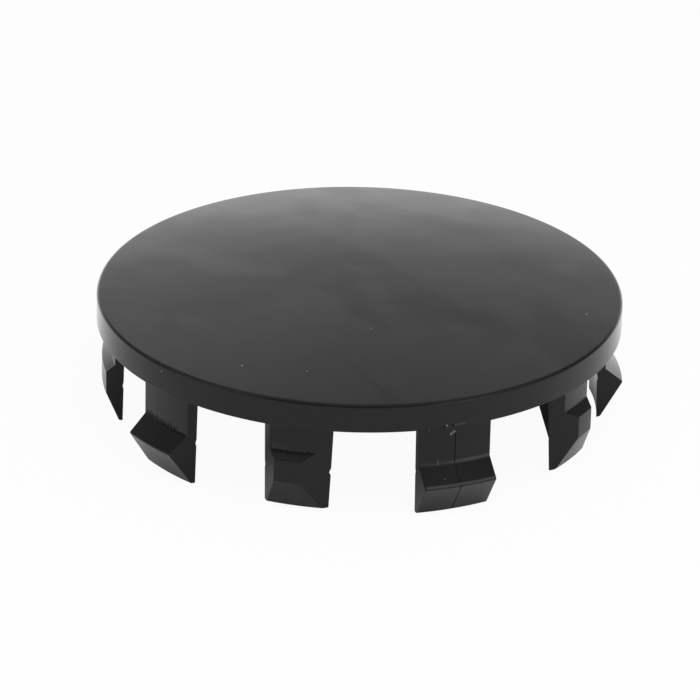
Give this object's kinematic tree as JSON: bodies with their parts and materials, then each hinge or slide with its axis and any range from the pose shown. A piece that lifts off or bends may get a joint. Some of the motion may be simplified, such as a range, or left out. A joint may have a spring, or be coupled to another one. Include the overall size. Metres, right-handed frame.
{
  "type": "wheel centre cap",
  "caption": "Shallow domed round cap with a short rim and a ring of moulded snap clips underneath, which springs into the centre bore of a car wheel to cover the hub.",
  "frame": {"origin": "on the cap's axis, in the plane of the rim's underside, which seats on the wheel", "axes": "+Z out of the wheel, towards the crown of the dome; -Y through the hook that carries the mould's parting line; +X to the right when the cap stands on its clips and that hook faces the viewer"},
  "size_m": [0.06, 0.0604, 0.0162],
  "materials": {
    "black_plastic": "satin black, as moulded"
  },
  "bodies": {
    "root": {"centre_cap": "black_plastic"}
  },
  "joints": []
}
